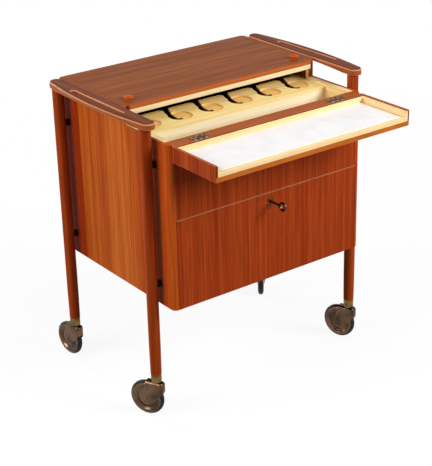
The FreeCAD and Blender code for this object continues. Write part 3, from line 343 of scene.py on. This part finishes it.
FINISHES = {
    # Quarter-cut veneer on the sides: orange brown, in broad soft bands with finer stripes, and the legs'
    # shade painted darker and redder near the rear and front edges
    "side": wood(
        "oiled_teak_veneer_sides", "z", SIDE_TEAK, "C46C30", 26, 3.5,
        [("8F2C05", REAR_LEG_SHADE), ("A23E08", FRONT_LEG_SHADE), ("8A4A26", FACES_UP)],
    ),
    # Striped veneer on the front: redder, with close even stripes
    "front": wood(
        "oiled_teak_veneer_front", "z", FRONT_TEAK, "C4744C", 9, 3,
        [("A85829", FACES_UP)], pore_depth=0.24,
    ),
    # The door has the same veneer, a painted highlight along its top edge, and its side faces and edges
    # painted dark as the shade in the gaps around it
    "door": wood(
        "oiled_teak_veneer_door", "z", FRONT_TEAK, "6A2A12", 9, 3,
        [("C87C54", DOOR_TOP_HIGHLIGHT), ("240E08", FACES_LEFT), ("240E08", FACES_RIGHT)], pore_depth=0.24,
    ),
    # Solid strips at the front corners: a clear orange, plainly figured
    "lip": wood("oiled_solid_teak_lips", "z", ("A63A0C", "B84812", "C65A1C"), "C46A30", 22, 6),
    # Turned legs: redder, with the figure running down them
    "leg": wood("oiled_turned_teak_legs", "z", ("92340E", "A04014", "AC4C1E"), "B4541E", 20, 6),
    # Veneer on top, darker than the sides and a little polished by use, its front edge a brighter orange
    "top": wood(
        "oiled_teak_veneer_top", "x", ("7A3C14", "884517", "94501F"), "B06840", 30, 5,
        [("C0622A", FACES_FRONT)], gloss=0.4,
    ),
    # The flap's case: plain orange-brown boards, darker on the faces turned to the front and brighter orange
    # along the front edge of its base
    "flap": wood(
        "oiled_solid_teak_flap", "xz", ("8A2C0E", "9E3B13", "B14A1D"), "CC7C54", 24, 6,
        [("6C3012", FACES_FRONT), ("C06822", FACES_FRONT, FLAP_BASE), ("A85829", FACES_UP)],
    ),
    # Handles: dark brown on top, a painted reflection of a dark room; their sides painted lighter and warmer
    # as lit faces, and a painted highlight along their upper edges
    "handle": wood(
        "oiled_shaped_teak_handles", "y", ("562206", "6C2E0A", "7E3C14"), "DCA078", 24, 6,
        [("A4582C", FACES_ASIDE), ("D89C78", FACES_ASIDE, HANDLE_EDGE_HIGHLIGHT)], gloss=0.32, level=0.03,
    ),
    # Turned knobs: the brightest orange of the cart
    "knob": wood("oiled_turned_teak_knobs", "x", ("A83C10", "C04C18", "D05C24"), "D87038", 12, 5),
    # Veneer on the back, as on the sides but more broadly figured, and painted near black inside as shade
    "back": wood(
        "oiled_teak_veneer_back", "z", ("B04D13", "BE5A17", "CC6D2A"), "C46C30", 42, 6,
        [(INTERIOR_SHADE_COLOUR, FACES_FRONT)],
    ),
    # The bottom board: browner and plainer, with its grain across the cart
    "bottom": wood("oiled_teak_veneer_bottom", "x", ("74340E", "864016", "984E20"), "B06838", 34, 7),
    # Plywood inside: painted near black as the shade within the cart, and dull
    "painted_shade": wood(
        "painted_shade_birch_plywood", "x", ("1E120C", "281810", "341F14"), "3C261A", 30, 9, gloss=0.6,
    ),
    # The trough's floor: an even, warm yellow
    "maple_floor": maple("lacquered_maple_lengthwise", "x", MAPLE, "F6E2AC"),
    # The lid's bed, which shows as a cream line under its front edge
    "maple_lid": maple("lacquered_maple_lid", "x", LID_MAPLE, "F6EAC8"),
    # The flap's lining: a yellow with some peach in it
    "maple_flap": maple("lacquered_maple_flap", "xy", FLAP_MAPLE, "F2DCB0", pore_depth=0.05),
    # Linings beside the rack: deeper yellow, brown where they run under the lid, and painted near black below
    # the rack as shade
    "maple_lining": maple(
        "lacquered_maple_lining", "y", LINING_MAPLE, "F6DCA0",
        [("7A3A1E", *UNDER_LID), (INTERIOR_SHADE_COLOUR, *UNDER_RACK)],
    ),
    # The trough's back wall: the palest and glossiest, painted near black behind as shade
    "maple_trough": maple(
        "lacquered_maple_trough", "x", PALE_MAPLE, "FDF0CC",
        [(INTERIOR_SHADE_COLOUR, FACES_BACK)], pore_depth=0.05, level=0.4,
    ),
    # The rack: bright yellow, its dishes amber, partly patina and partly painted shade, their walls a darker
    # amber as painted shade, and its underside painted near black as shade
    "maple_rack": maple(
        "lacquered_maple_rack", "x", RACK_MAPLE, "F6E2B0",
        [("F8CA78", *IN_DISH), ("CE8C34", FACES_ASIDE, *IN_DISH), (INTERIOR_SHADE_COLOUR, FACES_DOWN)], level=0.25,
    ),
    # The flap's white face, softly glossy
    "laminate": melamine("white_melamine_laminate"),
    # Sleeves at the legs' ends: brass dulled to an olive brown
    "brass": metal("tarnished_drawn_brass", "584828", "7C663E", "B09A6C", 14, 0.34),
    # Hinges: brass gone nearly brown, yellow at the edges, partly wear and partly painted highlight
    "hinge": metal("tarnished_rolled_brass", "3C2C1C", "5E482A", "A88C58", 8, 0.4),
    # Casters: smooth pressings with a brown coat that mirrors the room, and wide painted shade in their
    # hollows from ambient occlusion
    "bronze": metal("bronzed_pressed_steel", "48372A", "6A5140", "CCAE8C", 40, 0.18, 12),
    # The key: nearly black, with a yellowish gleam on its edges
    "iron": metal("blackened_cast_iron", "2A2018", "54442E", "A08A60", 7, 0.34),
    # The plate round the keyhole: a dull red brown
    "copper": metal("oxidised_copper_plate", "5E2A16", "84401F", "AC6438", 6, 0.4),
    # Hidden ironwork: a plain grey shine
    "steel": metal("drawn_steel", "6A6A6A", "8C8C8A", "B4B4B2", 8, 0.35),
    # Screw heads: bright, and a little yellow with age
    "nickel": metal("nickelled_steel", "B0A890", "D8D2C0", "F2EEE2", 3, 0.25),
    # Tyres: a brownish black with a dull sheen
    "rubber": black("vulcanised_rubber", "1A1614", "2C2622", 0.5),
    # Distance pieces between the panels and the legs: deep black with a soft gloss
    "spacer": black("black_enamelled_spacers", "0C0B0B", "1C1A19", 0.32),
}


# Pieces kept from the CAD model: the finish of each and the width of its softened edges in millimetres

KEPT = {
    "side": ("side", 0.8),
    "lip": ("lip", 0.8),
    "fascia": ("front", 0.8),
    "door_panel": ("door", 1.3),
    "back_panel": ("back", 0.8),
    "bottom_board": ("bottom", 0.8),
    "leg_spacers": ("spacer", 0.5),
    "leg": ("leg", 0.8),
    "lid_board": ("top", 0.8),
    "lid_bed": ("maple_lid", 0.6),
    "lid_knobs": ("knob", 0.6),
    "flap_case": ("flap", 0.8),
    "flap_bed": ("maple_flap", 0.8),
    "flap_laminate": ("laminate", 0.3),
    "handle": ("handle", 1.6),
    "rack_front": ("maple_trough", 0.6),
    "rack": ("maple_rack", 0.7),
    "shelf": ("painted_shade", 0.6),
    "partition": ("painted_shade", 0.6),
    "trough_floor": ("maple_floor", 0.6),
    "liner": ("maple_lining", 0.6),
    "flap_hinges": ("hinge", 0.25),
    "lid_hinges": ("hinge", 0.25),
    "ferrule": ("brass", 0.5),
    "escutcheon": ("copper", 0.25),
    "key": ("iron", 0.7),
    "bolt": ("steel", 0.3),
    "lock_case": ("steel", 0.4),
    "door_pivots": ("steel", 0.3),
    "caster_sockets": ("steel", 0.3),
    "caster_fork": ("bronze", 0.4),
    "caster_axle": ("bronze", 0.3),
    "caster_hub": ("bronze", 0.5),
    "caster_tyre": ("rubber", 0.6),
}
# The corners of a CAD node's loose triangles that lie closer than this are one point
JOIN_WITHIN = 0.002 * MM
SHARP_ANGLE = math.radians(40)
EDGE_SEGMENTS = 2


def soften(node, width):
    """Joins the loose triangles of a CAD node and rounds its sharp edges a little."""
    weld = node.modifiers.new("join", "WELD")
    weld.merge_threshold = JOIN_WITHIN
    bevel = node.modifiers.new("soften", "BEVEL")
    bevel.width = width * MM
    bevel.segments = EDGE_SEGMENTS
    bevel.limit_method = "ANGLE"
    bevel.angle_limit = SHARP_ANGLE
    node.modifiers.new("normals", "WEIGHTED_NORMAL")


def dress_kept_nodes():
    for name, node in NODES.items():
        key = max((key for key in KEPT if name.startswith(key)), key=len)
        finish, width = KEPT[key]
        node.data.materials.clear()
        node.data.materials.append(FINISHES[finish])
        soften(node, width)


def select_only(*pieces):
    bpy.ops.object.select_all(action="DESELECT")
    for piece in pieces:
        piece.select_set(True)
    bpy.context.view_layer.objects.active = pieces[0]


def discard(piece):
    select_only(piece)
    bpy.ops.object.delete()


# Pieces that stand for CAD nodes: the same boards, with a slimmer flap, a laminate set in from the flap's
# edges, and a rack that reaches further under the lid

FLAP_SLIMMER = 6.0 * MM
FLAP_BOARD_SLIMMER = 2.5 * MM
LAMINATE_MARGIN = 9.0 * MM
RACK_DEEPER = 9.0 * MM
MOUTH_LENGTH = 11.0 * MM
MOUTH_SLANT = 4.0 * MM
NEAR = 0.5 * MM
FAR = 10.0


def copy_node(node, name):
    """A copy of a CAD node as a piece of its own, its loose triangles joined."""
    piece = bpy.data.objects.new(name, NODES[node].data.copy())
    bpy.context.scene.collection.objects.link(piece)
    select_only(piece)
    bpy.ops.object.mode_set(mode="EDIT")
    bpy.ops.mesh.select_all(action="SELECT")
    bpy.ops.mesh.remove_doubles(threshold=JOIN_WITHIN)
    bpy.ops.object.mode_set(mode="OBJECT")
    return piece


def move_points(piece, shift, *limits):
    """Moves the points of a piece that lie within limits along one axis or more."""
    select_only(piece)
    bpy.ops.object.mode_set(mode="EDIT")
    bpy.ops.mesh.select_mode(type="VERT")
    bpy.ops.mesh.select_all(action="DESELECT")
    bpy.ops.object.mode_set(mode="OBJECT")
    for point in piece.data.vertices:
        point.select = all(low < point.co["xyz".index(axis)] < high for axis, low, high in limits)
    bpy.ops.object.mode_set(mode="EDIT")
    bpy.ops.transform.translate(value=shift)
    bpy.ops.object.mode_set(mode="OBJECT")


def stand_for(piece, node, body):
    """Gives a reshaped copy the finish of its node, whose place it takes."""
    finish, width = KEPT[node]
    piece.data.materials.clear()
    piece.data.materials.append(FINISHES[finish])
    soften(piece, width)
    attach(piece, body)
    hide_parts(node)


def slim_flap():
    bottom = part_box("flap_case")[0][2]
    bed_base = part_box("flap_bed")[0][2]
    under_bed = "z", bed_base - NEAR, bed_base + NEAR
    raise_bed = 0, 0, FLAP_SLIMMER - FLAP_BOARD_SLIMMER
    case = copy_node("flap_case", "flap_tray")
    move_points(case, raise_bed, under_bed)
    move_points(case, (0, 0, FLAP_SLIMMER), ("z", -FAR, bottom + NEAR))
    stand_for(case, "flap_case", "flap")
    bed = copy_node("flap_bed", "flap_lining")
    move_points(bed, raise_bed, under_bed)
    stand_for(bed, "flap_bed", "flap")


def inset_laminate():
    low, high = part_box("flap_laminate")
    sheet = copy_node("flap_laminate", "flap_laminate_sheet")
    move_points(sheet, (LAMINATE_MARGIN, 0, 0), ("x", -FAR, low[0] + NEAR))
    move_points(sheet, (-LAMINATE_MARGIN, 0, 0), ("x", high[0] - NEAR, FAR))
    move_points(sheet, (0, LAMINATE_MARGIN, 0), ("y", -FAR, low[1] + NEAR))
    stand_for(sheet, "flap_laminate", "flap")


def deepen_rack():
    low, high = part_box("rack")
    rack = copy_node("rack", "glass_rack")
    mouths = "y", high[1] - MOUTH_LENGTH, FAR
    move_points(rack, (MOUTH_SLANT, 0, 0), mouths, ("x", low[0] + NEAR, high[0] - NEAR))
    move_points(rack, (0, RACK_DEEPER, 0), mouths)
    stand_for(rack, "rack", "cabinet")


# Pressed wheel discs, in millimetres: a rounded ring that clasps the tyre, a groove, and a dome

DISC_SIDES = 72
TYRE_SEAT_RADIUS = 32.4
TYRE_HALF_WIDTH = 6.05
DISC_RADIUS = 33.4
DISC_EDGE = 6.35
DISC_CREASE = math.radians(35)
# Radius and height above the middle plane, from the ring's rim to the axle's bore
DISC_PROFILE = (
    (33.0, 6.55),
    (32.2, 6.95),
    (30.8, 7.3),
    (28.6, 7.2),
    (26.6, 5.9),
    (25.2, 4.2),
    (24.0, 3.2),
    (22.6, 3.0),
    (21.4, 3.6),
    (17.5, 5.0),
    (13.0, 6.0),
    (8.6, 6.5),
    (7.2, 6.5),
    (6.8, 7.4),
    (3.1, 7.5),
)
# Faces this close to the disc's edge plane lie in it
EDGE_PLANE_WITHIN = 0.1
# Height of a face's normal: under the first a face is upright, over the second it faces straight up
UPRIGHT = 0.5
STRAIGHT_UP = 0.99


def select_faces(piece, wanted):
    """In edit mode, selects the faces that a test picks out."""
    bpy.ops.object.mode_set(mode="EDIT")
    bpy.ops.mesh.select_mode(type="FACE")
    bpy.ops.mesh.select_all(action="DESELECT")
    bpy.ops.object.mode_set(mode="OBJECT")
    for face in piece.data.polygons:
        face.select = wanted(face)
    bpy.ops.object.mode_set(mode="EDIT")


def wheel_disc():
    """A disc at the origin that turns about Z."""
    bpy.ops.object.select_all(action="DESELECT")
    bpy.ops.mesh.primitive_cylinder_add(
        vertices=DISC_SIDES,
        radius=DISC_RADIUS * MM,
        depth=2 * DISC_EDGE * MM,
    )
    disc = bpy.context.object
    bpy.ops.object.mode_set(mode="EDIT")
    for side in (-TYRE_HALF_WIDTH, TYRE_HALF_WIDTH):
        bpy.ops.mesh.select_all(action="SELECT")
        bpy.ops.mesh.bisect(plane_co=(0, 0, side * MM), plane_no=(0, 0, 1))
    select_faces(disc, lambda face: abs(face.normal.z) < UPRIGHT and abs(face.center.z) < NEAR)
    seat_depth = (DISC_RADIUS - TYRE_SEAT_RADIUS) * MM
    bpy.ops.mesh.extrude_region_shrink_fatten(TRANSFORM_OT_shrink_fatten={"value": -seat_depth})
    for side in (-1, 1):
        select_faces(disc, lambda face: side * face.center.z > (DISC_EDGE - EDGE_PLANE_WITHIN) * MM)
        radius, height = DISC_RADIUS, DISC_EDGE
        for next_radius, next_height in DISC_PROFILE:
            bpy.ops.mesh.inset(thickness=(radius - next_radius) * MM, depth=(next_height - height) * MM)
            radius, height = next_radius, next_height
    select_faces(disc, lambda face: abs(face.normal.z) > UPRIGHT and face.center.xy.length < NEAR)
    bpy.ops.mesh.bridge_edge_loops()
    bpy.ops.object.mode_set(mode="OBJECT")
    bpy.ops.object.shade_smooth_by_angle(angle=DISC_CREASE)
    disc.data.materials.append(FINISHES["bronze"])
    return disc


def fit_wheels():
    disc = wheel_disc()
    for joint in frame["joints"]:
        if not joint["name"].startswith("roll_"):
            continue
        corner = joint["name"].removeprefix("roll_")
        select_only(disc)
        bpy.ops.object.duplicate(linked=False)
        copy = bpy.context.object
        copy.name = "caster_disc_" + corner
        copy.location = joint["pos_m"]
        copy.rotation_euler = Vector(joint["axis"]).to_track_quat("Z", "Y").to_euler()
        bpy.ops.object.transform_apply(location=True, rotation=True, scale=True)
        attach(copy, joint["child"])
        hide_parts("caster_hub_" + corner)
    discard(disc)


# Slotted screws in the hinge leaves

HALF_HINGE = 20 * MM
SCREW_SPACING = 13 * MM
FLAP_SCREW_RADIUS = 2.8 * MM
FLAP_SCREW_INSET = 4.8 * MM
LID_SCREW_RADIUS = 1.4 * MM
LID_SCREW_INSET = 2.2 * MM
LID_LEAF_THICKNESS = 1.2 * MM
HEAD_SIDES = 28
HEAD_PROUD = 0.22 * MM
HEAD_BEVEL = 0.12 * MM
HEAD_CREASE = math.radians(30)
SLOT_DEPTH = 0.3 * MM
HALF_SLOT_SHARE = 0.16
# Each slot stands turned from the one before it, in radians
SLOT_TURN = 0.8


def screw_head(radius):
    """A screw head at the origin, facing up, with a rounded rim and a slot across it."""
    bpy.ops.object.select_all(action="DESELECT")
    bpy.ops.mesh.primitive_cylinder_add(vertices=HEAD_SIDES, radius=radius, depth=2 * HEAD_PROUD)
    head = bpy.context.object
    select_faces(head, lambda face: face.normal.z > STRAIGHT_UP)
    bpy.ops.mesh.bevel(offset=HEAD_BEVEL, segments=EDGE_SEGMENTS, affect="EDGES")
    half_slot = radius * HALF_SLOT_SHARE
    for side in (-half_slot, half_slot):
        bpy.ops.mesh.select_all(action="SELECT")
        bpy.ops.mesh.bisect(plane_co=(side, 0, 0), plane_no=(1, 0, 0))
    select_faces(head, lambda face: face.normal.z > STRAIGHT_UP and abs(face.center.x) < half_slot)
    bpy.ops.mesh.extrude_region_move(TRANSFORM_OT_translate={"value": (0, 0, -SLOT_DEPTH)})
    bpy.ops.object.mode_set(mode="OBJECT")
    return head


def set_screws(name, head, places, tilt, body):
    """Copies of a screw head at their places, joined into one piece that moves with a body."""
    copies = []
    facing = Matrix.Rotation(tilt, 3, "X")
    for number, place in enumerate(places):
        select_only(head)
        bpy.ops.object.duplicate(linked=False)
        copy = bpy.context.object
        copy.location = place
        copy.rotation_euler = (facing @ Matrix.Rotation(SLOT_TURN * number, 3, "Z")).to_euler()
        copies.append(copy)
    select_only(*copies)
    bpy.ops.object.join()
    bpy.ops.object.transform_apply(location=True, rotation=True, scale=True)
    bpy.ops.object.shade_smooth_by_angle(angle=HEAD_CREASE)
    piece = bpy.context.object
    piece.name = name
    piece.data.materials.append(FINISHES["nickel"])
    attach(piece, body)


def along_leaf(node, y, z):
    """Three places along the leaf of each hinge of a pair."""
    low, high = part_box(node)
    middles = low[0] + HALF_HINGE, high[0] - HALF_HINGE
    return [(middle + step * SCREW_SPACING, y, z) for middle in middles for step in (-1, 0, 1)]


def screw_flap_hinges():
    head = screw_head(FLAP_SCREW_RADIUS)
    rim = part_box("fascia")[1][2]
    fixed_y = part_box("flap_hinges_fixed")[1][1] - FLAP_SCREW_INSET
    moving_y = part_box("flap_hinges_moving")[0][1] + FLAP_SCREW_INSET
    fixed = along_leaf("flap_hinges_fixed", fixed_y, rim)
    moving = along_leaf("flap_hinges_moving", moving_y, rim)
    set_screws("flap_hinge_screws_fixed", head, fixed, 0, "cabinet")
    set_screws("flap_hinge_screws_moving", head, moving, 0, "flap")
    discard(head)


def screw_lid_hinges():
    head = screw_head(LID_SCREW_RADIUS)
    to_rear = math.radians(-90)
    leaf_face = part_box("back_panel")[1][1] + LID_LEAF_THICKNESS
    fixed_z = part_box("lid_hinges_fixed")[0][2] + LID_SCREW_INSET
    moving_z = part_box("lid_hinges_moving")[1][2] - LID_SCREW_INSET
    fixed = along_leaf("lid_hinges_fixed", leaf_face, fixed_z)
    moving = along_leaf("lid_hinges_moving", leaf_face, moving_z)
    set_screws("lid_hinge_screws_fixed", head, fixed, to_rear, "cabinet")
    set_screws("lid_hinge_screws_moving", head, moving, to_rear, "lid")
    discard(head)


# Studio, in metres and watts

WHITE = "FFFFFF"
BOUNCE_GREY = "8C8C8C"
FILL_STRENGTH = 0.18
FLOOR_SIZE = 12
# The shadow is strongest under the cart and has gone at the far distance from it
SHADOW_NEAR = 0.5
SHADOW_FAR = 2.0
GLOW_UNDER_CART = 0.88


def white_to_eye(tree):
    """1 for rays from the camera, reflections and glass, which see the plain white studio."""
    path = add(tree, "LightPath", {})
    sockets = {0: path.outputs["Is Camera Ray"], 1: path.outputs["Is Glossy Ray"]}
    seen = add(tree, "Math", sockets, operation="MAXIMUM").outputs[0]
    sockets = {0: seen, 1: path.outputs["Is Transmission Ray"]}
    return add(tree, "Math", sockets, operation="MAXIMUM").outputs[0]


def set_world():
    world = bpy.data.worlds.new("studio")
    bpy.context.scene.world = world
    world.use_nodes = True
    tree = world.node_tree
    tree.nodes.clear()
    fill = add(tree, "Background", {"Color": linear(WHITE), "Strength": FILL_STRENGTH})
    backdrop = add(tree, "Background", {"Color": linear(WHITE), "Strength": 1.0})
    mixed = add(tree, "MixShader", {0: white_to_eye(tree), 1: fill.outputs[0], 2: backdrop.outputs[0]})
    add(tree, "OutputWorld", {"Surface": mixed.outputs[0]})


def set_floor():
    """A white floor with a faint shadow; what it throws back on the cart is dimmer, as in a large room."""
    bpy.ops.mesh.primitive_plane_add(size=FLOOR_SIZE)
    floor = bpy.context.object
    floor.name = "studio_floor"
    material, tree = new_material("matt_white_paper")
    bounce = add(tree, "BsdfDiffuse", {"Color": linear(BOUNCE_GREY)})
    paper = add(tree, "BsdfDiffuse", {"Color": linear(WHITE)})
    glow = add(tree, "Emission", {"Color": linear(WHITE), "Strength": 1.0})
    place = add(tree, "TexCoord", {}).outputs["Object"]
    away = add(tree, "VectorMath", {0: place}, operation="LENGTH").outputs["Value"]
    share = add(tree, "MapRange", {
        "Value": away,
        "From Min": SHADOW_NEAR,
        "From Max": SHADOW_FAR,
        "To Min": GLOW_UNDER_CART,
        "To Max": 1.0,
    }).outputs[0]
    lit = add(tree, "MixShader", {0: share, 1: paper.outputs[0], 2: glow.outputs[0]})
    surface = add(tree, "MixShader", {0: white_to_eye(tree), 1: bounce.outputs[0], 2: lit.outputs[0]})
    add(tree, "OutputMaterial", {"Surface": surface.outputs[0]})
    floor.data.materials.append(material)


def softbox(name, place, aim, size, power):
    turn = (Vector(aim) - Vector(place)).to_track_quat("-Z", "Y").to_euler()
    bpy.ops.object.light_add(type="AREA", location=place, rotation=turn)
    lamp = bpy.context.object
    lamp.name = name
    lamp.data.size = size
    lamp.data.energy = power


def set_lights():
    softbox("left_softbox", (-2.7, 0.3, 1.7), (0, 0, 0.45), 1.5, 60)
    softbox("front_softbox", (1.4, -2.5, 1.9), (0, 0, 0.45), 1.3, 90)
    softbox("top_softbox", (-0.2, -0.5, 3.0), (0, 0, 0.5), 1.4, 9)
    softbox("rear_softbox", (-0.6, 3.0, 1.3), (0, 0, 0.4), 1.4, 40)


set_camera()
set_world()
set_floor()
set_lights()
dress_kept_nodes()
slim_flap()
inset_laminate()
deepen_rack()
fit_wheels()
screw_flap_hinges()
screw_lid_hinges()

bpy.context.scene.view_settings.view_transform = "Standard"
